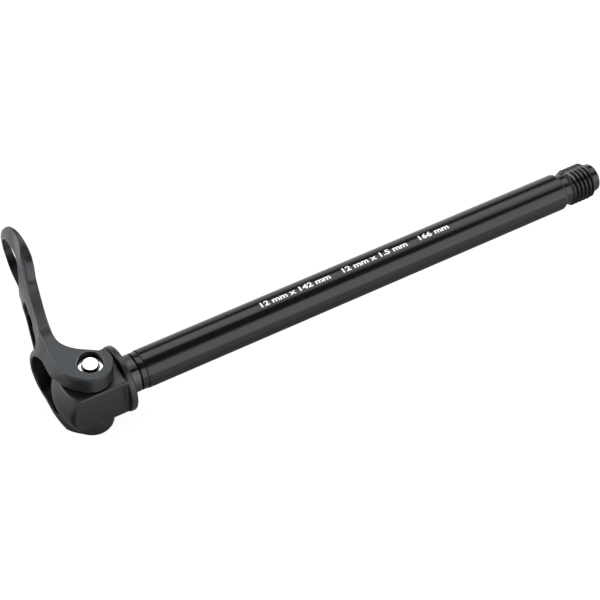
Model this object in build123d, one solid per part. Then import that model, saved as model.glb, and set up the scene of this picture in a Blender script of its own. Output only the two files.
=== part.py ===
# Bicycle thru axle with a cam lever, in millimetres.
# Frame: +X runs along the axle from the head to the threaded end, +Z along the cam pin,
# +Y the way the closed lever points. The origin is the centre of the flange's clamping face.
import math
import os

from build123d import *

# Axle
shaft_dia = 12.0
axle_length = 166.0
land_start = 5.85
tip_x = land_start + axle_length
shoulder_x = 157.9
shoulder_round = 0.8
neck_dia = 10.2
thread_start = 160.2
thread_dia = 11.9
thread_end = 169.3
thread_chamfer = 0.9
tip_dia = 9.2
tip_round = 0.7
bore_dia = 5.6
bore_end_x = 9.0
ring_land_dia = 11.6
groove_wide = 0.5
groove_thin = 0.3
groove_depth = 0.45

# Split collar
collar_back = -2.9
collar_front = 3.45
collar_dia = 11.6
collar_bore = 9.2
slit_width = 0.7
slit_turn = 14.0

# Axle head and its eye
head_dia = 10.8
head_back = -17.0
eye_clear_x = 0.5
eye_clear_y = 0.3

# Cam housing
pin_x = -10.42
block_half_y = 7.3
block_half_z = 7.5
block_back = -21.7
block_back_radius = 15.0
block_corner = 2.0
block_edge = 0.7
flange_dia = 20.5
flange_thick = 2.1
flange_round = 0.8
flange_root = 0.8
head_bore_clear = 0.05
head_bore_end = -17.4
collar_pocket_dia = 12.2
collar_pocket_end = -3.6

# Cam pin
throw = 0.7
lobe_dia = 6.0
journal_top_dia = 4.4
journal_low_dia = 7.6
journal_clear = 0.05
bush_wall = 0.8
bush_gap = 0.05
lobe_top = 3.8
lobe_low = -5.6
pin_top_sunk = 0.66
pin_head_dia = 9.2
pin_head_thick = 1.6
pin_head_sunk = 0.5
counterbore_dia = 7.8
counterbore_depth = 3.0
ring_dia = 7.2
ring_thick = 0.9

# Ear washers
washer_dia = 10.4
washer_gap = 0.05

# Lever
ear_radius = 6.6
ear_flat = 4.75
ear_flat_angle = 56.5
lever_half = 13.76
ear_inner = 8.2
arch_crown = 18.0
lever_crest = [(-10.0, -22.4, 30.0), (-4.0, -22.4, 30.0), (2.0, -22.4, 30.0), (7.0, -22.4, 30.0),
               (12.0, -22.4, 26.0), (17.0, -22.1, 22.0), (20.5, -21.1, 17.0), (24.5, -19.5, 13.5),
               (28.5, -17.9, 12.0), (32.5, -16.3, 12.2), (37.0, -14.7, 12.8), (42.0, -13.4, 12.6),
               (46.5, -12.8, 11.2), (49.5, -12.65, 10.3), (52.0, -12.35, 10.8), (55.5, -11.65, 12.4),
               (59.0, -10.6, 13.8), (61.5, -9.75, 14.2), (64.0, -9.0, 14.2), (66.5, -8.4, 14.2),
               (70.0, -7.6, 14.2)]
ear_tail_angle = 226.0
ear_tail = [(-17.5, -2.5), (-19.5, 0.4), (-21.0, 4.0), (-23.4, 10.0)]
lever_inner = [(-7.0, 68.0), (-6.65, 64.0), (-6.3, 60.0), (-5.95, 55.8), (-5.8, 52.4), (-5.8, 49.2),
               (-6.3, 46.5), (-7.0, 44.0), (-7.95, 41.3), (-8.8, 38.4), (-9.7, 35.1), (-11.7, 27.9),
               (-13.7, 20.7), (-14.7, 16.8), (-15.2, 13.6), (-14.9, 11.0), (-13.8, 8.9)]
lever_tip_y = 65.7
paddle_radius = 10.3
arm_radius = 49.0
waist_y = 41.0
waist_half = 7.1
taper_blend = 12.0
hole_mid_y = 52.9
hole_length = 20.4
hole_width = 14.4
slot_big = (19.0, 8.3)
slot_small = (34.0, 2.8)
slot_corner = 1.2
bridge_thick = 2.9
edge_out = 0.5
edge_in = 0.6

lobe_x = pin_x - throw
r_shaft = shaft_dia / 2
pin_top_z = lever_half - pin_top_sunk


def turned(points):
    # A solid turned about the X axis from (x, radius) points; the ends close on the axis
    loop = [(points[0][0], 0)] + points + [(points[-1][0], 0)]
    face = make_face(Polyline(*loop, close=True))
    return revolve(face, axis=Axis.X)


def teardrop(big, small):
    # The closed outline round two circles on the Y axis, each given as (y, radius)
    (y1, r1), (y2, r2) = big, small
    lean = (r1 - r2) / (y2 - y1)
    side = math.sqrt(1 - lean ** 2)
    ends = [(y1 + r1 * lean, r1 * side), (y2 + r2 * lean, r2 * side)]
    low = [(y, -z) for y, z in ends]
    way = 1 if y2 > y1 else -1
    return make_face(Line(ends[0], ends[1]) + ThreePointArc(ends[1], (y2 + way * r2, 0), low[1])
                     + Line(low[1], low[0]) + ThreePointArc(low[0], (y1 - way * r1, 0), ends[0]))


def outside_of(crest):
    # All that lies outboard of the lever's domed outer face, given as (y, x of the crest line, its radius)
    half = 20.0
    sections = []
    for y, x, radius in crest:
        rise = half ** 2 / (2 * radius)
        dome = Bezier((x + rise, y, half), (x - rise, y, 0), (x + rise, y, -half))
        back = Polyline((x + rise, y, -half), (-60, y, -half), (-60, y, half), (x + rise, y, half))
        sections.append(make_face(dome + back))
    return loft(sections)


def along_x(face, x0, x1):
    return extrude(Plane.YZ.offset(x0) * face, x1 - x0)


def upright(radius, z0, z1, x=pin_x, y=0.0):
    return Pos(x, y, z0) * Cylinder(radius, z1 - z0, align=(Align.CENTER, Align.CENTER, Align.MIN))


def level(radius, x0, x1):
    rod = Cylinder(radius, x1 - x0, align=(Align.CENTER, Align.CENTER, Align.MIN))
    return Pos(x0, 0, 0) * Rot(0, 90, 0) * rod


def soften(solid, edges, radii):
    # The first fillet radius that builds and keeps inside the solid's own box
    box = solid.bounding_box()
    for radius in radii:
        try:
            done = fillet(edges, radius)
        except Exception:
            continue
        grown = done.bounding_box()
        inside = grown.size.Z < box.size.Z + 0.01 and grown.size.X < box.size.X + 0.01
        if done.is_valid and inside and done.volume > 0.8 * solid.volume:
            return done
    print("left sharp", len(edges), "edges")
    return solid


# Axle shaft: head with the eye, collar seat, ring land, plain shaft, neck, thread blank, tip
r_tip = tip_dia / 2
r_ring = ring_land_dia / 2
ring_back = collar_front + groove_wide
groove_start = land_start - groove_thin
shaft = turned([
    (head_back, head_dia / 2 - 0.6), (head_back + 0.6, head_dia / 2), (collar_back, head_dia / 2),
    (collar_back, collar_bore / 2), (ring_back, collar_bore / 2), (ring_back, r_ring),
    (groove_start, r_ring), (groove_start, r_shaft - groove_depth), (land_start, r_shaft - groove_depth),
    (land_start, r_shaft), (shoulder_x - shoulder_round, r_shaft),
    (shoulder_x - 0.3 * shoulder_round, r_shaft - 0.3 * shoulder_round),
    (shoulder_x, r_shaft - shoulder_round), (shoulder_x, neck_dia / 2), (thread_start, neck_dia / 2),
    (thread_start + 0.5 * (thread_dia - neck_dia), thread_dia / 2),
    (thread_end - thread_chamfer, thread_dia / 2), (thread_end, thread_dia / 2 - thread_chamfer),
    (thread_end, r_tip), (tip_x - tip_round, r_tip),
    (tip_x - 0.3 * tip_round, r_tip - 0.3 * tip_round), (tip_x, r_tip - tip_round)])
shaft -= level(bore_dia / 2, bore_end_x, tip_x + 1)
eye_x = lobe_dia + 2 * eye_clear_x
eye_y = lobe_dia + 2 * throw + 2 * eye_clear_y
shaft -= Pos(lobe_x, 0, 0) * extrude(RectangleRounded(eye_x, eye_y, 2.0), 20, both=True)

# Split collar, slit on the side that faces away from the lever
collar = level(collar_dia / 2, collar_back, collar_front)
collar -= level(collar_bore / 2, collar_back - 1, collar_front + 1)
rims = [e for e in collar.edges() if e.geom_type == GeomType.CIRCLE and e.radius > 5]
collar = soften(collar, rims, [0.25])
slit = Pos(0, -0.5 * slit_width - 1.0, collar_dia / 2) * Box(40, slit_width, 4.5)
collar = Rot(slit_turn, 0, 0) * (collar - slit)

# Cam housing: a turned blank with a domed back, milled flat on four sides
dome_x = block_back + block_back_radius
dome_mid = 0.5 * math.sqrt(2) * block_back_radius
meridian = make_face(
    ThreePointArc((block_back, 0), (dome_x - dome_mid, dome_mid), (dome_x, block_back_radius))
    + Polyline((dome_x, block_back_radius), (-1, block_back_radius), (-1, 0), (block_back, 0)))
slab = Pos(-15, 0, 0) * Box(30, 2 * block_half_y, 2 * block_half_z + 4)
block = slab & revolve(meridian, axis=Axis.X)
arcs = [e for e in block.edges() if e.geom_type == GeomType.CIRCLE and e.center().X < -12]
block = soften(block, [e for e in arcs if abs(e.center().Z) < 1], [block_corner, 1.2, 0.8])
block = block & Box(80, 40, 2 * block_half_z)
rims = [e for e in block.edges() if abs(abs(e.center().Z) - block_half_z) < 1e-3 and e.center().X < -1.5]
block = soften(block, rims, [block_edge, 0.5, 0.3])
flange = level(flange_dia / 2, -flange_thick, 0)
flange = soften(flange, [e for e in flange.edges() if e.geom_type == GeomType.CIRCLE and e.center().X > -1],
                [flange_round])
flange = soften(flange, [e for e in flange.edges() if e.geom_type == GeomType.CIRCLE and e.center().X < -2],
                [0.5])
housing = block + flange
lines = [e for e in housing.edges() if e.geom_type == GeomType.LINE]
roots = [e for e in lines if abs(e.center().X + flange_thick) < 0.01]
housing = soften(housing, roots, [flange_root, 0.5, 0.3])
housing -= level(head_dia / 2 + head_bore_clear, head_bore_end, 1)
housing -= level(collar_pocket_dia / 2, collar_pocket_end, 1)
bush_top_in = journal_top_dia / 2 + journal_clear
bush_low_in = journal_low_dia / 2 + journal_clear
housing -= upright(bush_top_in + bush_wall, 0, 20)
housing -= upright(bush_low_in + bush_wall, -20, 0)

# Bearing bushes pressed into the housing, one round each journal of the pin
bush_end = head_dia / 2 + head_bore_clear + bush_gap
bush_top = upright(bush_top_in + bush_wall, bush_end, block_half_z) - upright(bush_top_in, 0, 20)
bush_low = upright(bush_low_in + bush_wall, -block_half_z, -bush_end) - upright(bush_low_in, -20, 0)

# Lever: side profile and front outline crossed, then the fork, slot, finger hole and pin bores
flat = math.radians(ear_flat_angle)
tail = math.radians(ear_tail_angle)
flat_half = math.sqrt(ear_radius ** 2 - ear_flat ** 2)


def on_flat(along):
    return (pin_x + ear_flat * math.cos(flat) - along * math.sin(flat),
            ear_flat * math.sin(flat) + along * math.cos(flat))


def on_ear(angle):
    return (pin_x + ear_radius * math.cos(angle), ear_radius * math.sin(angle))


flat_end = on_flat(0.75 * flat_half)
side = make_face(
    Spline(on_ear(tail), *ear_tail, tangents=[(math.sin(tail), -math.cos(tail)), (-0.4, 1)])
    + Polyline(ear_tail[-1], (-26.0, lever_inner[0][1]), lever_inner[0])
    + Spline(*lever_inner, flat_end, tangents=[(0.1, -1), (math.sin(flat), -math.cos(flat))])
    + Line(flat_end, on_flat(-flat_half))
    + ThreePointArc(on_flat(-flat_half), on_ear(math.radians(-60)), on_ear(tail)))
paddle_y = lever_tip_y - paddle_radius
gap_y = paddle_y - waist_y
waist_radius = (gap_y ** 2 + waist_half ** 2 - paddle_radius ** 2) / (2 * (paddle_radius - waist_half))
waist_z = waist_half + waist_radius
arm_z = waist_half + arm_radius
taper_y = waist_y - math.sqrt(arm_radius ** 2 - (arm_z - lever_half) ** 2)
reach = math.hypot(gap_y, waist_z)
meet = (paddle_y - paddle_radius * gap_y / reach, paddle_radius * waist_z / reach)


def front_half(y):
    # Half width of the front outline at y
    if y > meet[0]:
        return math.sqrt(max(0.0, paddle_radius ** 2 - (y - paddle_y) ** 2))
    if y > waist_y:
        return waist_z - math.sqrt(waist_radius ** 2 - (y - waist_y) ** 2)
    if y > taper_y:
        return arm_z - math.sqrt(arm_radius ** 2 - (y - waist_y) ** 2)
    return lever_half


arm_mid = 0.5 * (taper_y + waist_y)
neck_mid = 0.5 * (waist_y + meet[0])
flank = (Line((-12, lever_half), (taper_y, lever_half))
         + ThreePointArc((taper_y, lever_half), (arm_mid, front_half(arm_mid)), (waist_y, waist_half))
         + ThreePointArc((waist_y, waist_half), (neck_mid, front_half(neck_mid)), meet))
front = make_face(flank + ThreePointArc(meet, (lever_tip_y, 0), (meet[0], -meet[1]))
                  + mirror(flank, about=Plane.XZ) + Line((-12, -lever_half), (-12, lever_half)))
front = fillet([v for v in front.vertices() if abs(v.X - taper_y) < 0.01], taper_blend)


def edge_kind(edge):
    # Which rounding an edge of the lever gets: round the outline, round an opening, or none
    mid = edge @ 0.5
    start, end = edge @ 0, edge @ 1
    if edge.geom_type == GeomType.LINE and abs(abs(mid.Z) - lever_half) > 0.01:
        return "none"
    if abs(start.Y - end.Y) < 0.01 and abs(start.Z - end.Z) < 0.01 and edge.geom_type == GeomType.LINE:
        return "none"
    if mid.Y > hole_mid_y + 0.5 * hole_length + 0.5 or abs(mid.Z) > 0.9 * front_half(mid.Y):
        return "outline"
    if mid.Y > arch_crown - 4 and max(abs(start.Z - mid.Z), abs(end.Z - mid.Z)) > 0.01:
        return "opening"
    return "none"


lever = extrude(side, lever_half + 2, both=True) & along_x(front, -40, 20)
lever -= outside_of(lever_crest)
arch = Pos(arch_crown - ear_inner, 0) * Circle(ear_inner)
arch += Pos(arch_crown - ear_inner - 20, 0) * Rectangle(40, 2 * ear_inner)
lever -= along_x(arch, -40, 20)
slot = teardrop(slot_big, slot_small) - Pos(arch_crown - ear_inner, 0) * Circle(ear_inner + bridge_thick)
slot = fillet([v for v in slot.vertices() if v.X < arch_crown], slot_corner)
lever -= along_x(slot, -40, 20)
lever -= along_x(Pos(hole_mid_y, 0) * Ellipse(0.5 * hole_length, 0.5 * hole_width), -40, 20)
rounds = [e for e in lever.edges() if edge_kind(e) == "outline"]
lever = soften(lever, rounds, [edge_out, 0.8 * edge_out, 0.6 * edge_out])
rounds = [e for e in lever.edges() if edge_kind(e) == "opening"]
lever = soften(lever, rounds, [edge_in, 0.8 * edge_in, 0.6 * edge_in])
lever -= upright(journal_top_dia / 2, 0, 20)
lever -= upright(counterbore_dia / 2, lever_half - counterbore_depth, 20)
lever -= upright(journal_low_dia / 2, -20, 0)
lever -= upright(pin_head_dia / 2 + 0.1, -20, -lever_half + pin_head_sunk + pin_head_thick)

# Cam pin: lower head, lower journal, eccentric lobe, upper journal
pin = upright(pin_head_dia / 2, -lever_half + pin_head_sunk, -lever_half + pin_head_sunk + pin_head_thick)
pin += upright(journal_low_dia / 2, -lever_half + pin_head_sunk + 0.5, lobe_low)
pin += upright(lobe_dia / 2, lobe_low - 0.2, lobe_top, x=lobe_x)
pin += upright(journal_top_dia / 2, lobe_top - 0.2, pin_top_z)

# Retaining ring on the pin's upper end, and a thin washer under each ear
ring_floor = lever_half - counterbore_depth
ring = upright(ring_dia / 2, ring_floor, ring_floor + ring_thick) - upright(journal_top_dia / 2, 0, 20)
washer_face = block_half_z + washer_gap
washer_top = upright(washer_dia / 2, washer_face, ear_inner) - upright(journal_top_dia / 2, 0, 20)
washer_low = upright(washer_dia / 2, -ear_inner, -washer_face) - upright(journal_low_dia / 2, -20, 0)

nodes = {
    "axle_shaft": shaft,
    "split_collar": collar,
    "cam_housing": housing,
    "pin_bush_top": bush_top,
    "pin_bush_low": bush_low,
    "cam_lever": lever,
    "cam_pin": pin,
    "pin_ring": ring,
    "ear_washer_top": washer_top,
    "ear_washer_low": washer_low,
}
os.makedirs("parts", exist_ok=True)
for name, solid in nodes.items():
    export_step(solid, "parts/" + name + ".step")
    print(name, round(solid.volume, 1), solid.is_valid)
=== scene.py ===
import math

import bmesh
import bpy
from mathutils import Matrix, Vector


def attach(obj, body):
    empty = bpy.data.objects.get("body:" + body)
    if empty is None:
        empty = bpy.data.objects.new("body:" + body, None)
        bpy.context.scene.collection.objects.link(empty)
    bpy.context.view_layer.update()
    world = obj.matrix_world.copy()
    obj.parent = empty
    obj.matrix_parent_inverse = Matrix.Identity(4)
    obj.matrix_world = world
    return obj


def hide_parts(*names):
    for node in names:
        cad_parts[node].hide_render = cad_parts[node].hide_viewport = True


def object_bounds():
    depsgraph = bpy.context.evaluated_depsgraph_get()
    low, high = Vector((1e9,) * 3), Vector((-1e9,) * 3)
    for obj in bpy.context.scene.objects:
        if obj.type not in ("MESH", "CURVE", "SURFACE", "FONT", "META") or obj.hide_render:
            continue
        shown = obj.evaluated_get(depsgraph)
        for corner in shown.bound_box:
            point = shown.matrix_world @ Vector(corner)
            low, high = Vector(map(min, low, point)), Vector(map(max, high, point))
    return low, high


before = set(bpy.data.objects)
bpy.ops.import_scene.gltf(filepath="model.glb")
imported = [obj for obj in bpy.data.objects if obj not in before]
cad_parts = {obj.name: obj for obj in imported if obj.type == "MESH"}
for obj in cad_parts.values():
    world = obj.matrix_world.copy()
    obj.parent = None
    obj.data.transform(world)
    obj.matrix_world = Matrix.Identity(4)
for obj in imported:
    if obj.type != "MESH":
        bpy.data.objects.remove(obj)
cadLow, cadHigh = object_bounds()
scene = bpy.context.scene
scene.view_settings.view_transform = "Standard"
mm = 0.001
raySamples = 6  # rays that the edge and recess masks send out
print("frame loaded:", len(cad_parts), "nodes")


# node helpers

def newGroup(name, inputs, outputs):
    group = bpy.data.node_groups.new(name, "ShaderNodeTree")
    for label, kind, value in inputs:
        socket = group.interface.new_socket(label, in_out="INPUT", socket_type=kind)
        socket.default_value = value
    for label, kind in outputs:
        group.interface.new_socket(label, in_out="OUTPUT", socket_type=kind)
    return group, group.nodes.new("NodeGroupInput"), group.nodes.new("NodeGroupOutput")


def addNode(tree, kind, links=(), **values):
    # links: (input name or index, socket); values: attributes of the node
    node = tree.nodes.new(kind)
    for key, value in values.items():
        setattr(node, key, value)
    for key, source in links:
        if hasattr(source, "is_output"):
            tree.links.new(source, node.inputs[key])
        else:
            node.inputs[key].default_value = source
    return node


def mathNode(tree, operation, a, b=None):
    links = [(0, a)] + ([(1, b)] if b is not None else [])
    return addNode(tree, "ShaderNodeMath", links, operation=operation).outputs[0]


def rampNode(tree, source, stops):
    node = addNode(tree, "ShaderNodeValToRGB", [(0, source)])
    ramp = node.color_ramp
    while len(ramp.elements) < len(stops):
        ramp.elements.new(0.5)
    for element, (place, value) in zip(ramp.elements, stops):
        element.position = place
        element.color = (value, value, value, 1)
    return node.outputs[0]


def mixColor(tree, factor, a, b):
    node = addNode(tree, "ShaderNodeMix", data_type="RGBA")
    for key, source in (("Factor", factor), ("A", a), ("B", b)):
        sockets = [s for s in node.inputs if s.name == key and s.enabled]
        socket = sockets[0]
        if hasattr(source, "is_output"):
            tree.links.new(source, socket)
        else:
            socket.default_value = source
    return [s for s in node.outputs if s.enabled][0]


# blasted grain: fine pits of a bead-blasted, anodised skin, with a slow change of tone
def makeBlastedGrain():
    group, into, out = newGroup(
        "blastedGrain",
        [("Pit Scale", "NodeSocketFloat", 5200.0), ("Tone Scale", "NodeSocketFloat", 70.0)],
        [("Height", "NodeSocketFloat"), ("Tone", "NodeSocketFloat")])
    place = addNode(group, "ShaderNodeTexCoord").outputs["Object"]
    pits = addNode(group, "ShaderNodeTexNoise", [("Vector", place), ("Scale", into.outputs["Pit Scale"]),
                                                 ("Detail", 3.0), ("Roughness", 0.6)])
    slow = addNode(group, "ShaderNodeTexNoise", [("Vector", place), ("Scale", into.outputs["Tone Scale"]),
                                                 ("Detail", 4.0), ("Roughness", 0.55)])
    group.links.new(pits.outputs["Fac"], out.inputs["Height"])
    group.links.new(slow.outputs["Fac"], out.inputs["Tone"])
    return group


# turned lines: rings that a lathe leaves across an axis, given as a place along it
def makeTurnedLines():
    group, into, out = newGroup(
        "turnedLines",
        [("Along", "NodeSocketFloat", 0.0), ("Lines", "NodeSocketFloat", 9000.0)],
        [("Height", "NodeSocketFloat"), ("Mask", "NodeSocketFloat")])
    coarseShare = 0.13  # the wide bands repeat this much slower than the fine rings
    fine = mathNode(group, "MULTIPLY", into.outputs["Along"], into.outputs["Lines"])
    coarse = mathNode(group, "MULTIPLY", fine, coarseShare)
    rings = addNode(group, "ShaderNodeTexNoise", [("W", fine), ("Scale", 1.0), ("Detail", 2.0)],
                    noise_dimensions="1D")
    bands = addNode(group, "ShaderNodeTexNoise", [("W", coarse), ("Scale", 1.0), ("Detail", 2.0)],
                    noise_dimensions="1D")
    group.links.new(rings.outputs["Fac"], out.inputs["Height"])
    group.links.new(bands.outputs["Fac"], out.inputs["Mask"])
    return group


# rubbed edges: where handling thins the black skin on outer edges, lightened further as a painted highlight
# along the edges
def makeRubbedEdgesAndHighlight():
    group, into, out = newGroup(
        "rubbedEdgesAndHighlight",
        [("Width", "NodeSocketFloat", 0.0004), ("Breakup", "NodeSocketFloat", 900.0)],
        [("Mask", "NodeSocketFloat")])
    place = addNode(group, "ShaderNodeTexCoord").outputs["Object"]
    wearGain = 6.0  # a small turn of the normal already counts as an edge
    soft = addNode(group, "ShaderNodeBevel", [("Radius", into.outputs["Width"])], samples=raySamples)
    flat = addNode(group, "ShaderNodeNewGeometry").outputs["Normal"]
    match = addNode(group, "ShaderNodeVectorMath", [(0, soft.outputs[0]), (1, flat)],
                    operation="DOT_PRODUCT")
    turn = mathNode(group, "SUBTRACT", 1.0, match.outputs["Value"])
    patch = addNode(group, "ShaderNodeTexNoise", [("Vector", place), ("Scale", into.outputs["Breakup"]),
                                                  ("Detail", 3.0)])
    wornAndLit = mathNode(group, "MULTIPLY", mathNode(group, "MULTIPLY", turn, wearGain), patch.outputs["Fac"])
    capped = addNode(group, "ShaderNodeClamp", [("Value", wornAndLit)])
    group.links.new(capped.outputs[0], out.inputs["Mask"])
    return group


# painted shade in deep recesses: a mask that is one in the open and falls in pockets, bores and under
# overhangs that light hardly reaches
def makePaintedRecessShade():
    group, into, out = newGroup(
        "paintedRecessShade",
        [("Reach", "NodeSocketFloat", 0.006), ("Least", "NodeSocketFloat", 0.2)],
        [("Mask", "NodeSocketFloat")])
    closedAt, openAt = 0.12, 0.62  # shares of open space between which the mask rises
    openness = addNode(group, "ShaderNodeAmbientOcclusion", [("Distance", into.outputs["Reach"])],
                       samples=raySamples)
    spread = rampNode(group, openness.outputs["AO"], [(closedAt, 0.0), (openAt, 1.0)])
    rest = mathNode(group, "SUBTRACT", 1.0, into.outputs["Least"])
    level = addNode(group, "ShaderNodeMath", [(0, spread), (1, rest), (2, into.outputs["Least"])],
                    operation="MULTIPLY_ADD")
    group.links.new(level.outputs[0], out.inputs["Mask"])
    return group


blastedGrain = makeBlastedGrain()
turnedLines = makeTurnedLines()
rubbedEdgesAndHighlight = makeRubbedEdgesAndHighlight()
paintedRecessShade = makePaintedRecessShade()


def placeGroup(tree, group, **values):
    node = tree.nodes.new("ShaderNodeGroup")
    node.node_tree = group
    for key, value in values.items():
        label = key.replace("_", " ")
        if hasattr(value, "is_output"):
            tree.links.new(value, node.inputs[label])
        else:
            node.inputs[label].default_value = value
    return node


def newMaterial(name):
    material = bpy.data.materials.new(name)
    material.use_nodes = True
    return material, material.node_tree, material.node_tree.nodes["Principled BSDF"]


def addBump(tree, skin, height, distance, strength):
    bump = addNode(tree, "ShaderNodeBump", [("Height", height)])
    bump.inputs["Distance"].default_value = distance
    bump.inputs["Strength"].default_value = strength
    tree.links.new(bump.outputs[0], skin.inputs["Normal"])


def spreadRoughness(tree, skin, source, look):
    rough = mathNode(tree, "MULTIPLY_ADD", source, look["roughSpread"])
    rough.node.inputs[2].default_value = look["roughness"] - 0.5 * look["roughSpread"]
    tree.links.new(rough, skin.inputs["Roughness"])


def paintInnerWallShade(tree, paintedShadeMask, look):
    # painted shade: walls that face the middle plane, inside the slot, the loop and the fork, are darkened
    # towards the painted shade colour
    place = addNode(tree, "ShaderNodeTexCoord").outputs["Object"]
    normal = addNode(tree, "ShaderNodeNewGeometry").outputs["Normal"]
    height = addNode(tree, "ShaderNodeSeparateXYZ", [(0, place)]).outputs["Z"]
    facing = addNode(tree, "ShaderNodeSeparateXYZ", [(0, normal)]).outputs["Z"]
    inward = mathNode(tree, "MULTIPLY", facing, mathNode(tree, "SIGN", height))
    wallFrom, wallTo = look["innerShadeSpan"]
    inner = addNode(tree, "ShaderNodeMapRange", [
        ("Value", inward), ("From Min", wallFrom), ("From Max", wallTo),
        ("To Min", 1.0 - look["innerShadeShare"]), ("To Max", 1.0)])
    return mathNode(tree, "MULTIPLY", paintedShadeMask, inner.outputs["Result"])


# black blasted skin of the lever and the housing
def makeBlastedBlack(name, look):
    material, tree, skin = newMaterial(name)
    grain = placeGroup(tree, blastedGrain, Pit_Scale=look["pitScale"], Tone_Scale=look["toneScale"])
    rub = placeGroup(tree, rubbedEdgesAndHighlight, Width=look["edgeWidth"], Breakup=look["edgeBreakup"])
    toneFrom, toneTo = look["toneSpan"]
    tone = rampNode(tree, grain.outputs["Tone"], [(toneFrom, 0.0), (toneTo, 1.0)])
    black = mixColor(tree, tone, look["dark"], look["light"])
    # painted shade: recesses darken towards the painted shade colour
    shade = placeGroup(tree, paintedRecessShade, Reach=look["recessReach"], Least=look["recessLeast"])
    paintedShadeMask = shade.outputs["Mask"]
    if look["innerShadeShare"]:
        paintedShadeMask = paintInnerWallShade(tree, paintedShadeMask, look)
    # edges lighten: partly wear, partly a painted highlight
    thin = mathNode(tree, "MULTIPLY", rub.outputs["Mask"], look["edgeShare"])
    wornAndLit = mixColor(tree, thin, black, look["bareAndHighlight"])
    tree.links.new(mixColor(tree, paintedShadeMask, look["paintedShade"], wornAndLit), skin.inputs["Base Color"])
    spreadRoughness(tree, skin, grain.outputs["Tone"], look)
    # painted shade: where the recess shade darkens the colour, the skin also turns metallic with that
    # near-black colour, so it hardly mirrors the lights
    tree.links.new(mathNode(tree, "SUBTRACT", 1.0, paintedShadeMask), skin.inputs["Metallic"])
    skin.inputs["Specular IOR Level"].default_value = look["specular"]
    skin.inputs["Specular Tint"].default_value = look["tint"]
    addBump(tree, skin, grain.outputs["Height"], look["pitDepth"], look["pitStrength"])
    return material


leverLook = {
    "dark": (0.0065, 0.007, 0.0078, 1), "light": (0.011, 0.0118, 0.013, 1), "bareAndHighlight": (0.24, 0.25, 0.26, 1),
    # paintedShade: colour of the painted shade in recesses and on inner walls
    "paintedShade": (0.002, 0.002, 0.0022, 1), "tint": (0.9, 0.955, 1.0, 1),
    "roughness": 0.36, "roughSpread": 0.08, "specular": 0.46,
    "pitScale": 5200.0, "pitDepth": 0.00003, "pitStrength": 0.35,
    "toneScale": 60.0, "toneSpan": (0.3, 0.7),
    "edgeWidth": 0.0005, "edgeBreakup": 1100.0, "edgeShare": 0.6,
    "recessReach": 0.0035, "recessLeast": 0.12, "innerShadeShare": 0.75, "innerShadeSpan": (-0.8, -0.3),
}
housingLook = dict(leverLook, dark=(0.006, 0.006, 0.0068, 1), light=(0.0098, 0.01, 0.011, 1),
                   roughness=0.34, recessReach=0.007, innerShadeShare=0)
leverBlack = makeBlastedBlack("leverBlack", leverLook)
housingBlack = makeBlastedBlack("housingBlack", housingLook)


# glossy turned black of the shaft
shaftLook = {
    "dark": (0.0028, 0.003, 0.0034, 1), "light": (0.0052, 0.0055, 0.006, 1), "bareAndHighlight": (0.07, 0.07, 0.075, 1),
    "roughness": 0.19, "roughSpread": 0.08, "specular": 0.36,
    "lines": 9000.0, "lineDepth": 0.000004, "lineStrength": 0.25,
    "edgeWidth": 0.0003, "edgeBreakup": 1500.0, "edgeShare": 0.3,
}


def makeTurnedBlack(name, look):
    material, tree, skin = newMaterial(name)
    place = addNode(tree, "ShaderNodeTexCoord").outputs["Object"]
    along = addNode(tree, "ShaderNodeSeparateXYZ", [(0, place)]).outputs["X"]
    rings = placeGroup(tree, turnedLines, Along=along, Lines=look["lines"])
    rub = placeGroup(tree, rubbedEdgesAndHighlight, Width=look["edgeWidth"], Breakup=look["edgeBreakup"])
    black = mixColor(tree, rings.outputs["Mask"], look["dark"], look["light"])
    thin = mathNode(tree, "MULTIPLY", rub.outputs["Mask"], look["edgeShare"])
    tree.links.new(mixColor(tree, thin, black, look["bareAndHighlight"]), skin.inputs["Base Color"])
    spreadRoughness(tree, skin, rings.outputs["Mask"], look)
    skin.inputs["Specular IOR Level"].default_value = look["specular"]
    addBump(tree, skin, rings.outputs["Height"], look["lineDepth"], look["lineStrength"])
    return material


shaftBlack = makeTurnedBlack("shaftBlack", shaftLook)


# moulded black of the split collar and the washers
collarLook = {
    "dark": (0.006, 0.006, 0.0065, 1), "light": (0.0105, 0.0105, 0.011, 1),
    "roughness": 0.4, "roughSpread": 0.1, "specular": 0.68,
    "pitScale": 3800.0, "toneScale": 240.0, "pitDepth": 0.00004, "pitStrength": 0.3,
}


def makeMouldedBlack(name, look):
    material, tree, skin = newMaterial(name)
    grain = placeGroup(tree, blastedGrain, Pit_Scale=look["pitScale"], Tone_Scale=look["toneScale"])
    black = mixColor(tree, grain.outputs["Tone"], look["dark"], look["light"])
    tree.links.new(black, skin.inputs["Base Color"])
    spreadRoughness(tree, skin, grain.outputs["Tone"], look)
    skin.inputs["Specular IOR Level"].default_value = look["specular"]
    addBump(tree, skin, grain.outputs["Height"], look["pitDepth"], look["pitStrength"])
    return material


collarBlack = makeMouldedBlack("collarBlack", collarLook)
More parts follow.
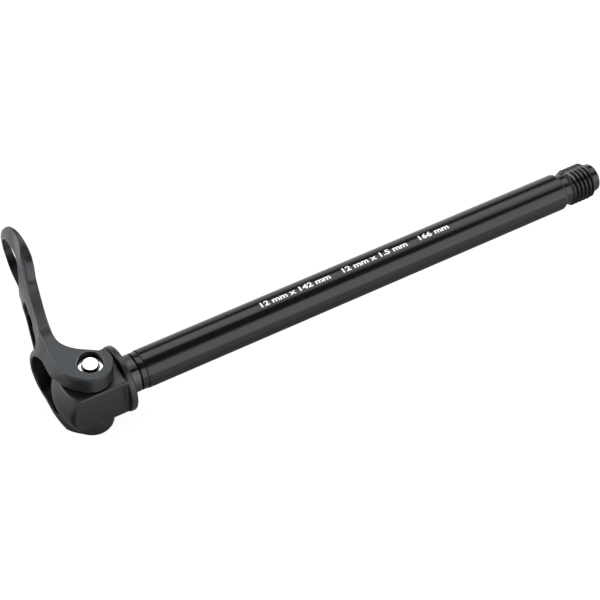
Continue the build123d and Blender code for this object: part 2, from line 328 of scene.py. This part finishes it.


# turned metal, ringed about the pin's axis, with bright ends and painted shade on its sides and, on the
# ring, next to the pin: pin, ring and bushes
def makeMetalWithPaintedShade(name, look):
    material, tree, skin = newMaterial(name)
    place = addNode(tree, "ShaderNodeTexCoord").outputs["Object"]
    middle = addNode(tree, "ShaderNodeVectorMath", [(0, place), (1, look["axisAt"])],
                     operation="SUBTRACT")
    flat = addNode(tree, "ShaderNodeVectorMath", [(0, middle.outputs[0]), (1, (1, 1, 0))],
                   operation="MULTIPLY")
    away = addNode(tree, "ShaderNodeVectorMath", [(0, flat.outputs[0])], operation="LENGTH")
    reach = away.outputs["Value"]
    rings = placeGroup(tree, turnedLines, Along=reach, Lines=look["lines"])
    bright = mixColor(tree, rings.outputs["Mask"], look["dark"], look["light"])
    normal = addNode(tree, "ShaderNodeNewGeometry").outputs["Normal"]
    facing = addNode(tree, "ShaderNodeSeparateXYZ", [(0, normal)]).outputs["Z"]
    # painted shade: only faces along the pin's axis, past the gap shade's reach, keep the bright metal; the
    # barrel and the ring next to the pin get the dark side colour
    sideUpTo, endFrom = look["endSpan"]
    end = rampNode(tree, mathNode(tree, "ABSOLUTE", facing), [(sideUpTo, 0.0), (endFrom, 1.0)])
    clear = addNode(tree, "ShaderNodeMapRange", [
        ("Value", reach), ("From Min", look["gapShadeReach"]),
        ("From Max", look["gapShadeReach"] + look["gapShadeFade"])])
    shown = mathNode(tree, "MULTIPLY", end, clear.outputs["Result"])
    tree.links.new(mixColor(tree, shown, look["side"], bright), skin.inputs["Base Color"])
    spreadRoughness(tree, skin, rings.outputs["Mask"], look)
    skin.inputs["Metallic"].default_value = 1.0
    addBump(tree, skin, rings.outputs["Height"], look["lineDepth"], look["lineStrength"])
    return material


pinLook = {
    # side: colour of the painted shade on the barrel and next to the pin
    "dark": (0.80, 0.80, 0.80, 1), "light": (0.93, 0.93, 0.93, 1), "side": (0.05, 0.05, 0.053, 1),
    "axisAt": (-10.42 * mm, 0, 0), "gapShadeReach": -1.0 * mm, "gapShadeFade": 0.1 * mm,
    "endSpan": (0.55, 0.85),
    "roughness": 0.16, "roughSpread": 0.08, "lines": 12000.0, "lineDepth": 0.000003, "lineStrength": 0.2,
}
bushLook = dict(pinLook, dark=(0.52, 0.38, 0.19, 1), light=(0.66, 0.50, 0.27, 1),
                side=(0.55, 0.41, 0.21, 1), roughness=0.3)
pinBright = makeMetalWithPaintedShade("pinBright", pinLook)
# painted shade on the ring within 2.75 mm of the pin's axis, a dark gap next to the pin
ringBright = makeMetalWithPaintedShade("ringBright", dict(pinLook, roughness=0.14, gapShadeReach=2.75 * mm))
bushBrass = makeMetalWithPaintedShade("bushBrass", bushLook)

nodeFinish = {
    "split_collar": collarBlack, "cam_housing": housingBlack, "cam_lever": leverBlack,
    "cam_pin": pinBright, "pin_ring": ringBright, "pin_bush_top": bushBrass, "pin_bush_low": bushBrass,
    "ear_washer_top": collarBlack, "ear_washer_low": collarBlack,
}
for nodeName, finish in nodeFinish.items():
    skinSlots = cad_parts[nodeName].data.materials
    skinSlots.clear()
    skinSlots.append(finish)
print("materials made:", len(bpy.data.materials))


# axle shaft with its cut thread, in place of the plain CAD blank
shaft = {
    "segments": 120, "radius": 6.0, "landStart": 5.95, "grooveStart": 5.5, "grooveDepth": 0.5,
    "ringBack": 3.95, "ringRadius": 5.8, "seatRadius": 4.6, "collarBack": -2.9,
    "headBack": -17.0, "headRadius": 5.4, "headChamfer": 0.6,
    "shoulder": 157.9, "shoulderRound": 0.8, "neckRadius": 5.1,
    "threadStart": 160.2, "threadEnd": 169.3, "threadRadius": 5.95, "endRadius": 5.05,
    "tip": 171.85, "tipRadius": 4.6, "tipRound": 0.7, "boreRadius": 2.8, "boreEnd": 9.0,
    "eyeAt": -11.12, "eyeX": 7.0, "eyeY": 8.0, "eyeCorner": 2.0, "eyeSteps": 8, "eyeReach": 8.0,
    # least rounding of an edge, and how far along a large rounding its middle point lies
    "edgeRound": 0.09, "roundMiddle": 0.3,
    # angle that stays a sharp edge, and the lengths below which points merge and slivers go
    "sharp": 38, "merge": 0.0005, "sliver": 0.0002,
}
thread = {
    "pitch": 1.5,
    # one turn of the section: share of the pitch, share of the depth below the crest
    "section": [(0.0, 0.10), (0.035, 0.0), (0.10, 0.0), (0.135, 0.10), (0.28, 0.52), (0.42, 0.92),
                (0.47, 1.0), (0.66, 1.0), (0.71, 0.92), (0.85, 0.52)],
}


def roundCorners(points, reach, steps=3, mostShare=0.45):
    # each inner corner of a profile becomes a short arc, which takes at most a share of each side
    done = [points[0]]
    for before, corner, after in zip(points, points[1:], points[2:]):
        b, c, a = Vector(before), Vector(corner), Vector(after)
        back, ahead = b - c, a - c
        cut = min(reach, mostShare * back.length, mostShare * ahead.length)
        start, end = c + back.normalized() * cut, c + ahead.normalized() * cut
        for k in range(steps + 1):
            t = k / steps
            done.append(tuple(start * (1 - t) ** 2 + c * 2 * t * (1 - t) + end * t * t))
    return done + [points[-1]]


def addRings(mesh, profile, segments):
    # rings of vertices about X for (x, radius) points; a zero radius gives a single pole
    rings = []
    for x, r in profile:
        if r == 0:
            rings.append([mesh.verts.new((x * mm, 0, 0))])
            continue
        angles = [2 * math.pi * k / segments for k in range(segments)]
        rings.append([mesh.verts.new((x * mm, r * math.cos(a) * mm, r * math.sin(a) * mm)) for a in angles])
    for one, two in zip(rings, rings[1:]):
        for k in range(segments):
            n = (k + 1) % segments
            loop = [one[k % len(one)], one[n % len(one)], two[n % len(two)], two[k % len(two)]]
            mesh.faces.new(list(dict.fromkeys(loop)))
    return rings


def addThread(mesh, spec, cut, segments):
    # rows of vertices that follow the helix, clipped to the threaded length and to its end chamfers
    section = cut["section"]
    pitch = cut["pitch"]
    depth = spec["threadRadius"] - spec["neckRadius"]
    turns = math.ceil((spec["threadEnd"] - spec["threadStart"]) / pitch) + 1
    rows = []
    for turn in range(-1, turns + 1):
        for share, sunk in section:
            row = []
            for k in range(segments):
                x = spec["threadStart"] + pitch * (turn + share + k / segments)
                x = min(max(x, spec["threadStart"]), spec["threadEnd"])
                r = spec["threadRadius"] - depth * sunk
                r = min(r, spec["neckRadius"] + x - spec["threadStart"])
                r = min(r, spec["endRadius"] + spec["threadEnd"] - x)
                a = 2 * math.pi * k / segments
                row.append(mesh.verts.new((x * mm, r * math.cos(a) * mm, r * math.sin(a) * mm)))
            rows.append(row)
    for j in range(len(rows) - 1):
        for k in range(segments - 1):
            mesh.faces.new((rows[j][k], rows[j][k + 1], rows[j + 1][k + 1], rows[j + 1][k]))
        up = j + len(section)
        if up + 1 < len(rows):
            mesh.faces.new((rows[j][-1], rows[up][0], rows[up + 1][0], rows[j + 1][-1]))


def finishMesh(name, mesh, material, sharpAngle=30):
    bmesh.ops.recalc_face_normals(mesh, faces=mesh.faces)
    data = bpy.data.meshes.new(name)
    mesh.to_mesh(data)
    mesh.free()
    data.materials.append(material)
    data.shade_smooth()
    data.set_sharp_from_angle(angle=math.radians(sharpAngle))
    piece = bpy.data.objects.new(name, data)
    scene.collection.objects.link(piece)
    return piece


def makeShaft(spec, cut):
    s = spec
    shoulderCut = s["roundMiddle"] * s["shoulderRound"]
    tipCut = s["roundMiddle"] * s["tipRound"]
    outer = [
        (s["headBack"], 0), (s["headBack"], s["headRadius"] - s["headChamfer"]),
        (s["headBack"] + s["headChamfer"], s["headRadius"]), (s["collarBack"], s["headRadius"]),
        (s["collarBack"], s["seatRadius"]),
        (s["ringBack"], s["seatRadius"]), (s["ringBack"], s["ringRadius"]),
        (s["grooveStart"], s["ringRadius"]), (s["grooveStart"], s["radius"] - s["grooveDepth"]),
        (s["landStart"], s["radius"] - s["grooveDepth"]), (s["landStart"], s["radius"]),
        (s["shoulder"] - s["shoulderRound"], s["radius"]),
        (s["shoulder"] - shoulderCut, s["radius"] - shoulderCut),
        (s["shoulder"], s["radius"] - s["shoulderRound"]), (s["shoulder"], s["neckRadius"]),
        (s["threadStart"], s["neckRadius"])]
    front = [
        (s["threadEnd"], s["endRadius"]), (s["threadEnd"], s["tipRadius"]),
        (s["tip"] - s["tipRound"], s["tipRadius"]),
        (s["tip"] - tipCut, s["tipRadius"] - tipCut),
        (s["tip"], s["tipRadius"] - s["tipRound"]), (s["tip"], s["boreRadius"]),
        (s["boreEnd"], s["boreRadius"]), (s["boreEnd"], 0)]
    mesh = bmesh.new()
    addRings(mesh, roundCorners(outer, s["edgeRound"]), s["segments"])
    addRings(mesh, roundCorners(front, s["edgeRound"]), s["segments"])
    addThread(mesh, s, cut, s["segments"])
    bmesh.ops.remove_doubles(mesh, verts=mesh.verts, dist=s["merge"] * mm)
    bmesh.ops.dissolve_degenerate(mesh, edges=mesh.edges, dist=s["sliver"] * mm)
    return finishMesh("axleShaft", mesh, shaftBlack, s["sharp"])


def cutAway(piece, cutter, sharpAngle):
    tool = piece.modifiers.new("cut", "BOOLEAN")
    tool.operation = "DIFFERENCE"
    tool.solver = "EXACT"
    tool.object = cutter
    bpy.context.view_layer.update()
    done = bpy.data.meshes.new_from_object(piece.evaluated_get(bpy.context.evaluated_depsgraph_get()))
    piece.modifiers.clear()
    piece.data = done
    bpy.data.objects.remove(cutter)
    done.shade_smooth()
    done.set_sharp_from_angle(angle=math.radians(sharpAngle))


def cutEye(piece, spec):
    # the slot in the axle's head that the cam pin works in
    mesh = bmesh.new()
    halfX, halfY, corner = 0.5 * spec["eyeX"], 0.5 * spec["eyeY"], spec["eyeCorner"]
    loop = []
    for sx, sy, start in ((1, 1, 0), (-1, 1, 90), (-1, -1, 180), (1, -1, 270)):
        for k in range(spec["eyeSteps"] + 1):
            a = math.radians(start + 90 * k / spec["eyeSteps"])
            loop.append((spec["eyeAt"] + sx * (halfX - corner) + corner * math.cos(a),
                         sy * (halfY - corner) + corner * math.sin(a)))
    low = [mesh.verts.new((x * mm, y * mm, -spec["eyeReach"] * mm)) for x, y in loop]
    high = [mesh.verts.new((x * mm, y * mm, spec["eyeReach"] * mm)) for x, y in loop]
    mesh.faces.new(low)
    mesh.faces.new(high)
    for k in range(len(loop)):
        n = (k + 1) % len(loop)
        mesh.faces.new((low[k], low[n], high[n], high[k]))
    cutAway(piece, finishMesh("eyeCutter", mesh, shaftBlack), spec["sharp"])


axleShaft = makeShaft(shaft, thread)
cutEye(axleShaft, shaft)
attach(axleShaft, "axle")
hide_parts("axle_shaft")
print("shaft made:", len(axleShaft.data.polygons), "faces")


# cam lever: the CAD lever with a wider, longer slot between its arms, a bridge that sits lower and a grip
# recess in each side of its neck
leverForm = {
    # (y, x of the crest line, crest radius) of the domed front, and (y, x) of the inner side
    "crest": [(2.0, -22.4, 30.0), (7.0, -22.4, 30.0), (12.0, -22.4, 26.0), (17.0, -22.1, 22.0),
              (20.5, -21.1, 17.0), (24.5, -19.5, 13.5), (28.5, -17.9, 12.0), (32.5, -16.3, 12.2),
              (37.0, -14.7, 12.8), (42.0, -13.4, 12.6), (46.5, -12.8, 11.2)],
    "inner": [(8.9, -13.8), (11.0, -14.9), (13.6, -15.2), (16.8, -14.7), (20.7, -13.7), (27.9, -11.7),
              (35.1, -9.7), (38.4, -8.8), (41.3, -7.95), (44.0, -7.0), (46.5, -6.3)],
    # half widths of the outline, the CAD slot and the gain that widens it, each by y
    "outline": [(2.0, 13.76), (14.0, 13.7), (18.0, 12.8), (22.0, 11.0), (27.0, 9.14), (31.0, 8.13),
                (36.0, 7.36), (41.0, 7.1), (46.5, 8.0)],
    "slot": [(2.0, 8.3), (19.0, 8.3), (22.04, 7.72), (35.03, 2.6), (46.5, 2.0)],
    "gain": [(8.0, 0.0), (15.0, 0.5), (19.0, 0.65), (22.0, 0.7), (27.2, 0.95), (33.8, 1.1), (41.5, 0.0)],
    # how far the arch, the slot's foot and its top move along y
    "archAt": 9.8, "archRadius": 8.2, "footRadius": 11.1, "archShift": -1.2, "footShift": -2.3,
    "still": 30.0, "topAt": 36.8, "topShift": 0.8, "low": 7.0, "high": 41.5,
    # share of the front's lean that a moved point takes up, so that the bridge stays in the CAD box
    "sway": [(17.5, 0.0), (24.0, 1.0)], "foremost": -21.72, "widest": 13.76,
    # how much of the arch's radius counts, where the shift along y fades out beside the slot, and how far
    # past the front and the inner side a point may lie
    "archMost": 0.96, "wallClear": 0.7, "edgeClear": 0.3, "overrun": 0.2,
    # length below which points merge, angle that stays a sharp edge, weight of large faces in the normals
    "merge": 0.001, "sharp": 34, "evenWeight": 60,
}


def readTable(table, y):
    # smooth value between the rows of a table, for each column after the first
    k = max(j for j in range(len(table) - 1) if j == 0 or table[j][0] <= y)
    rows = [table[max(k - 1, 0)], table[k], table[k + 1], table[min(k + 2, len(table) - 1)]]
    span = rows[2][0] - rows[1][0]
    t = min(max((y - rows[1][0]) / span, 0.0), 1.0)
    values = []
    for before, a, b, after in zip(*(row[1:] for row in rows)):
        inSlope = (b - before) / (rows[2][0] - rows[0][0]) * span
        outSlope = (after - a) / (rows[3][0] - rows[1][0]) * span
        values.append(a * (1 + 2 * t) * (1 - t) ** 2 + inSlope * t * (1 - t) ** 2
                      + b * t * t * (3 - 2 * t) - outSlope * t * t * (1 - t))
    return values


def easeBetween(stops, at):
    # value that eases from stop to stop and stays level past the ends
    for (a, one), (b, two) in zip(stops, stops[1:]):
        if at <= b:
            t = min(max((at - a) / (b - a), 0.0), 1.0)
            return one + (two - one) * t * t * (3 - 2 * t)
    return stops[-1][1]


def shapeLever(form, co):
    # place of one lever point in the finished shape, in millimetres
    x, y, z = co
    if not form["low"] < y < form["high"]:
        return co
    q = abs(z)
    edge = readTable(form["outline"], y)[0]
    wall = readTable(form["slot"], y)[0]
    side = min(q, form["archMost"] * form["archRadius"])
    arch = form["archAt"] + math.sqrt(form["archRadius"] ** 2 - side ** 2)
    foot = form["archAt"] + math.sqrt(form["footRadius"] ** 2 - side ** 2)
    shift = easeBetween([(form["low"], 0.0), (arch, form["archShift"]), (foot, form["footShift"]),
                         (form["still"], 0.0), (form["topAt"], form["topShift"]), (form["high"], 0.0)], y)
    fade = [(wall + form["wallClear"], 1.0), (edge - form["edgeClear"], 0.0)]
    newY = y + shift * easeBetween(fade, q)
    share = q / wall if q < wall else max(0.0, (edge - q) / (edge - wall))
    newQ = q + easeBetween(form["gain"], y) * share
    # the point keeps its share of the way from the domed front to the inner side
    crest, radius = readTable(form["crest"], y)
    front = crest + q * q / (2 * radius)
    inner = readTable(form["inner"], y)[0]
    crest, radius = readTable(form["crest"], newY)
    newFront = crest + newQ * newQ / (2 * radius)
    newInner = readTable(form["inner"], newY)[0]
    t = min(max((x - front) / (inner - front), -form["overrun"]), 1 + form["overrun"])
    moved = (1 - t) * (newFront - front) + t * (newInner - inner)
    newX = max(x + moved * easeBetween(form["sway"], y), form["foremost"])
    return newX, newY, math.copysign(min(newQ, form["widest"]), z)


# shallow grip recess in both sides of the lever's neck
grip = {
    "depth": 0.6, "halfWide": 2.2, "halfLong": 5.7, "corner": 1.5, "stretch": 2.0,
    "middle": 43.6, "slant": 0.36, "aside": 0.6,
    # half width of the neck, where it is least, and its bends towards the arms and the paddle
    "neckAt": 41.0, "neckHalf": 7.1, "armBend": 49.0, "paddleBend": 23.7,
    # (y, x halfway across the side wall)
    "midLine": [(34.0, -11.95), (38.0, -10.75), (42.0, -9.5), (46.0, -8.15), (50.0, -7.3), (54.0, -6.75)],
    "margin": 0.4, "lift": 2.0, "rows": 40, "columns": 30,
}


def gripHeight(spec, u, v):
    # height over the side wall of the recess's floor, its sloped border or the margin round it
    besideU = max(abs(u) - spec["halfWide"] + spec["corner"], 0.0)
    besideV = max((abs(v) - spec["halfLong"]) / spec["stretch"] + spec["corner"], 0.0)
    inside = min((spec["corner"] - math.hypot(besideU, besideV)) / spec["corner"], 1.0)
    if inside < 0:
        return -2 * spec["depth"] * inside
    return -spec["depth"] * (1 - (1 - inside) ** 2)


def makeGripCutter(spec, side):
    mesh = bmesh.new()
    sheets = []
    for lift in (0.0, spec["lift"]):
        sheet = []
        for i in range(spec["columns"] + 1):
            u = (2 * i / spec["columns"] - 1) * (spec["halfWide"] + spec["margin"])
            for j in range(spec["rows"] + 1):
                v = (2 * j / spec["rows"] - 1) * (spec["halfLong"] + spec["margin"])
                y = spec["middle"] + v - spec["slant"] * u
                bend = spec["paddleBend"] if y > spec["neckAt"] else spec["armBend"]
                wall = spec["neckHalf"] + bend - math.sqrt(bend ** 2 - (y - spec["neckAt"]) ** 2)
                z = wall + (lift if lift else gripHeight(spec, u, v))
                x = readTable(spec["midLine"], y)[0] + u + spec["aside"]
                sheet.append(mesh.verts.new((x * mm, y * mm, side * z * mm)))
        sheets.append(sheet)
    across = spec["rows"] + 1
    for sheet in sheets:
        for i in range(spec["columns"]):
            for j in range(spec["rows"]):
                k = i * across + j
                mesh.faces.new((sheet[k], sheet[k + 1], sheet[k + across + 1], sheet[k + across]))
    low, high = sheets
    last = spec["columns"] * across
    rim = list(range(across))
    rim += [i * across + spec["rows"] for i in range(1, spec["columns"])]
    rim += list(range(last + spec["rows"], last - 1, -1))
    rim += [i * across for i in range(spec["columns"] - 1, 0, -1)]
    for one, two in zip(rim, rim[1:] + rim[:1]):
        mesh.faces.new((low[one], low[two], high[two], high[one]))
    return finishMesh("gripCutter", mesh, leverBlack)


def makeLever(form, source):
    plain = source.data.copy()
    if "custom_normal" in plain.attributes:
        plain.attributes.remove(plain.attributes["custom_normal"])
    mesh = bmesh.new()
    mesh.from_mesh(plain)
    bpy.data.meshes.remove(plain)
    bmesh.ops.remove_doubles(mesh, verts=mesh.verts, dist=form["merge"] * mm)
    for v in mesh.verts:
        v.co = Vector(shapeLever(form, v.co / mm)) * mm
    piece = finishMesh("camLever", mesh, leverBlack, form["sharp"])
    for side in (1, -1):
        cutAway(piece, makeGripCutter(grip, side), form["sharp"])
    level = piece.modifiers.new("level", "WEIGHTED_NORMAL")
    level.keep_sharp = True
    level.weight = form["evenWeight"]
    return piece


camLever = makeLever(leverForm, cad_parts["cam_lever"])
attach(camLever, "lever")
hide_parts("cam_lever")
print("lever made:", len(camLever.data.polygons), "faces")


# plain size numbers printed along the shaft
marks = {
    "words": "12 mm x 142 mm    12 mm x 1.5 mm    166 mm", "start": 46.6, "end": 114.4,
    "baseAngle": 96.0, "height": 1.95,
    "proud": 0.012, "sunk": 0.02, "weight": 0.03, "sliceStep": 0.3, "fineness": 4, "merge": 0.00001,
}
printLook = {
    "color": (0.92, 0.92, 0.91, 1), "thin": (0.644, 0.644, 0.637, 1), "roughness": 0.5,
    "pitScale": 4200.0, "pitDepth": 0.00001, "pitStrength": 0.2,
    "toneScale": 900.0, "toneStops": [(0.25, 0.82), (0.6, 1.0)],
}


def makePrintWhite(look):
    material, tree, skin = newMaterial("printWhite")
    grain = placeGroup(tree, blastedGrain, Pit_Scale=look["pitScale"], Tone_Scale=look["toneScale"])
    tone = rampNode(tree, grain.outputs["Tone"], look["toneStops"])
    tree.links.new(mixColor(tree, tone, look["thin"], look["color"]), skin.inputs["Base Color"])
    skin.inputs["Roughness"].default_value = look["roughness"]
    addBump(tree, skin, grain.outputs["Height"], look["pitDepth"], look["pitStrength"])
    return material


def makeMarks(spec, radius):
    curve = bpy.data.curves.new("sizeMarks", "FONT")
    curve.body = spec["words"]
    curve.size = 1.0
    curve.offset = spec["weight"]
    curve.resolution_u = spec["fineness"]
    text = bpy.data.objects.new("sizeMarksText", curve)
    scene.collection.objects.link(text)
    bpy.context.view_layer.update()
    flat = bpy.data.meshes.new_from_object(text.evaluated_get(bpy.context.evaluated_depsgraph_get()))
    bpy.data.objects.remove(text)
    mesh = bmesh.new()
    mesh.from_mesh(flat)
    bmesh.ops.remove_doubles(mesh, verts=mesh.verts, dist=spec["merge"])
    xs = [v.co.x for v in mesh.verts]
    ys = [v.co.y for v in mesh.verts]
    wide = (spec["end"] - spec["start"]) / (max(xs) - min(xs))
    tall = spec["height"] / (max(ys) - min(ys))
    left, foot = min(xs), min(ys)
    for v in mesh.verts:
        v.co = ((v.co.x - left) * wide, (v.co.y - foot) * tall, 0)
    level = spec["sliceStep"]
    while level < spec["height"]:
        everything = mesh.verts[:] + mesh.edges[:] + mesh.faces[:]
        bmesh.ops.bisect_plane(mesh, geom=everything, dist=spec["merge"],
                               plane_co=(0, level, 0), plane_no=(0, 1, 0))
        level += spec["sliceStep"]
    faces = mesh.faces[:]
    lifted = bmesh.ops.extrude_face_region(mesh, geom=faces, use_keep_orig=True)["geom"]
    top = {v for v in lifted if isinstance(v, bmesh.types.BMVert)}
    for v in mesh.verts:
        r = radius + (spec["proud"] if v in top else -spec["sunk"])
        a = math.radians(spec["baseAngle"]) - v.co.y / radius
        v.co = ((spec["start"] + v.co.x) * mm, r * math.cos(a) * mm, r * math.sin(a) * mm)
    return finishMesh("sizeMarks", mesh, makePrintWhite(printLook))


sizeMarks = makeMarks(marks, shaft["radius"])
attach(sizeMarks, "axle")
print("marks made:", len(sizeMarks.data.polygons), "faces")


# stage: pale floor, white surroundings, three soft boxes and dark cards that only show in gloss
stageLook = {
    "floorHalf": 6.0, "floorGap": 0.0001, "floorColor": (0.82, 0.82, 0.82, 1), "shadowShare": 0.22,
    "white": 1.15, "aimAt": (0.06, 0.0, 0.0), "cardColor": (0.004, 0.004, 0.004, 1),
    "shadeNear": 0.004, "shadeFar": 0.05, "shadeLevel": 0.1, "shadeEnds": (-0.02, 0.165), "fill": 0.45,
}
softBoxes = [
    {"name": "boxBehind", "at": (0.29, 0.40, 0.78), "size": (1.4, 0.60), "radiance": 1.9},
    {"name": "boxFront", "at": (0.30, -0.76, 0.40), "size": (1.4, 0.80), "radiance": 1.8},
    {"name": "boxLeft", "at": (-0.75, 0.55, 0.16), "size": (1.2, 0.4), "radiance": 4.8},
]
# each card: two opposite corners; the last is a painted shadow, a dark sheet on the floor where the block
# shades it
darkCards = [
    {"name": "cardAbove", "from": (-0.9, -0.62, 0.95), "to": (1.5, 0.12, 0.95)},
    {"name": "cardBehind", "from": (-0.5, 1.0, 0.40), "to": (2.0, 1.0, 0.95)},
    {"name": "cardBehindLeft", "from": (-0.5, 1.0, 0.06), "to": (0.1, 1.0, 0.40)},
    {"name": "cardPaintedShadow", "from": (-0.041, -0.030, -0.01381), "to": (-0.021, -0.007, -0.01381)},
]


def seenAsWhite(tree):
    # one for rays that should see the white surroundings: straight, mirrored or through glass
    path = addNode(tree, "ShaderNodeLightPath")
    some = mathNode(tree, "ADD", path.outputs["Is Camera Ray"], path.outputs["Is Glossy Ray"])
    every = mathNode(tree, "ADD", some, path.outputs["Is Transmission Ray"])
    return mathNode(tree, "MINIMUM", every, 1.0)


def makeFloor(look):
    half = look["floorHalf"]
    data = bpy.data.meshes.new("floor")
    corners = [(-half, -half, 0), (half, -half, 0), (half, half, 0), (-half, half, 0)]
    data.from_pydata(corners, [], [(0, 1, 2, 3)])
    floor = bpy.data.objects.new("floor", data)
    floor.location.z = cadLow.z - look["floorGap"]
    scene.collection.objects.link(floor)
    material = bpy.data.materials.new("floorPale")
    material.use_nodes = True
    tree = material.node_tree
    tree.nodes.clear()
    matte = addNode(tree, "ShaderNodeBsdfDiffuse", [("Color", look["floorColor"])])
    # mirrored rays see the floor dim close to the axle, where the part shades it
    place = addNode(tree, "ShaderNodeNewGeometry").outputs["Position"]
    spot = addNode(tree, "ShaderNodeSeparateXYZ", [(0, place)])
    beside = addNode(tree, "ShaderNodeClamp", [("Value", spot.outputs["X"]), ("Min", look["shadeEnds"][0]),
                                               ("Max", look["shadeEnds"][1])])
    past = mathNode(tree, "SUBTRACT", spot.outputs["X"], beside.outputs[0])
    away = addNode(tree, "ShaderNodeCombineXYZ", [("X", past), ("Y", spot.outputs["Y"])])
    apart = addNode(tree, "ShaderNodeVectorMath", [(0, away.outputs[0])], operation="LENGTH")
    shade = addNode(tree, "ShaderNodeMapRange", [
        ("Value", apart.outputs["Value"]), ("From Min", look["shadeNear"]), ("From Max", look["shadeFar"]),
        ("To Min", look["shadeLevel"]), ("To Max", 1.0)], interpolation_type="SMOOTHSTEP")
    mirrored = addNode(tree, "ShaderNodeLightPath").outputs["Is Glossy Ray"]
    dim = mathNode(tree, "SUBTRACT", shade.outputs["Result"], 1.0)
    level = mathNode(tree, "MULTIPLY_ADD", mirrored, dim)
    level.node.inputs[2].default_value = 1.0
    strength = mathNode(tree, "MULTIPLY", level, look["white"])
    white = addNode(tree, "ShaderNodeEmission", [("Color", (1, 1, 1, 1)), ("Strength", strength)])
    share = mathNode(tree, "MULTIPLY", seenAsWhite(tree), 1.0 - look["shadowShare"])
    both = addNode(tree, "ShaderNodeMixShader", [(0, share), (1, matte.outputs[0]), (2, white.outputs[0])])
    addNode(tree, "ShaderNodeOutputMaterial", [("Surface", both.outputs[0])])
    data.materials.append(material)


def makeWorld(look):
    world = bpy.data.worlds.new("studio")
    scene.world = world
    world.use_nodes = True
    tree = world.node_tree
    tree.nodes.clear()
    seen = seenAsWhite(tree)
    rise = mathNode(tree, "MULTIPLY_ADD", seen, 1.0 - look["fill"])
    rise.node.inputs[2].default_value = look["fill"]
    sky = addNode(tree, "ShaderNodeBackground", [("Color", (1, 1, 1, 1)), ("Strength", rise)])
    addNode(tree, "ShaderNodeOutputWorld", [("Surface", sky.outputs[0])])


def makeLights(boxes, look):
    for box in boxes:
        light = bpy.data.lights.new(box["name"], "AREA")
        light.shape = "RECTANGLE"
        light.size, light.size_y = box["size"]
        light.energy = box["radiance"] * math.pi * box["size"][0] * box["size"][1]
        lamp = bpy.data.objects.new(box["name"], light)
        lamp.location = box["at"]
        aim = Vector(look["aimAt"]) - Vector(box["at"])
        lamp.rotation_euler = aim.to_track_quat("-Z", "Y").to_euler()
        lamp.visible_camera = False
        scene.collection.objects.link(lamp)


def makeCards(cards, look):
    material = bpy.data.materials.new("cardDark")
    material.use_nodes = True
    skin = material.node_tree.nodes["Principled BSDF"]
    skin.inputs["Base Color"].default_value = look["cardColor"]
    for card in cards:
        data = bpy.data.meshes.new(card["name"])
        one, two = card["from"], card["to"]
        corners = [one, (two[0], one[1], one[2]), two, (one[0], two[1], two[2])]
        data.from_pydata(corners, [], [(0, 1, 2, 3)])
        data.materials.append(material)
        sheet = bpy.data.objects.new(card["name"], data)
        scene.collection.objects.link(sheet)
        sheet.visible_camera = False
        sheet.visible_diffuse = False
        sheet.visible_shadow = False
        sheet.visible_transmission = False


makeFloor(stageLook)
makeWorld(stageLook)
makeLights(softBoxes, stageLook)
makeCards(darkCards, stageLook)
print("stage made")


# camera at the photograph's angle
cameraLook = {
    "at": (-0.149173, -0.297954, 0.451782), "lens": 114.0, "sensor": 36.0,
    "right": (0.857467, -0.510881, 0.061251), "up": (0.365928, 0.689161, 0.625422),
    "back": (-0.361728, -0.513865, 0.777879), "nearest": 0.01, "farthest": 50.0,
}


def makeCamera(look):
    data = bpy.data.cameras.new("photoCamera")
    data.lens = look["lens"]
    data.sensor_width = look["sensor"]
    data.clip_start = look["nearest"]
    data.clip_end = look["farthest"]
    eye = bpy.data.objects.new("photoCamera", data)
    turn = Matrix((look["right"], look["up"], look["back"])).transposed()
    eye.matrix_world = Matrix.Translation(look["at"]) @ turn.to_4x4()
    scene.collection.objects.link(eye)
    scene.camera = eye


makeCamera(cameraLook)
bpy.context.view_layer.update()
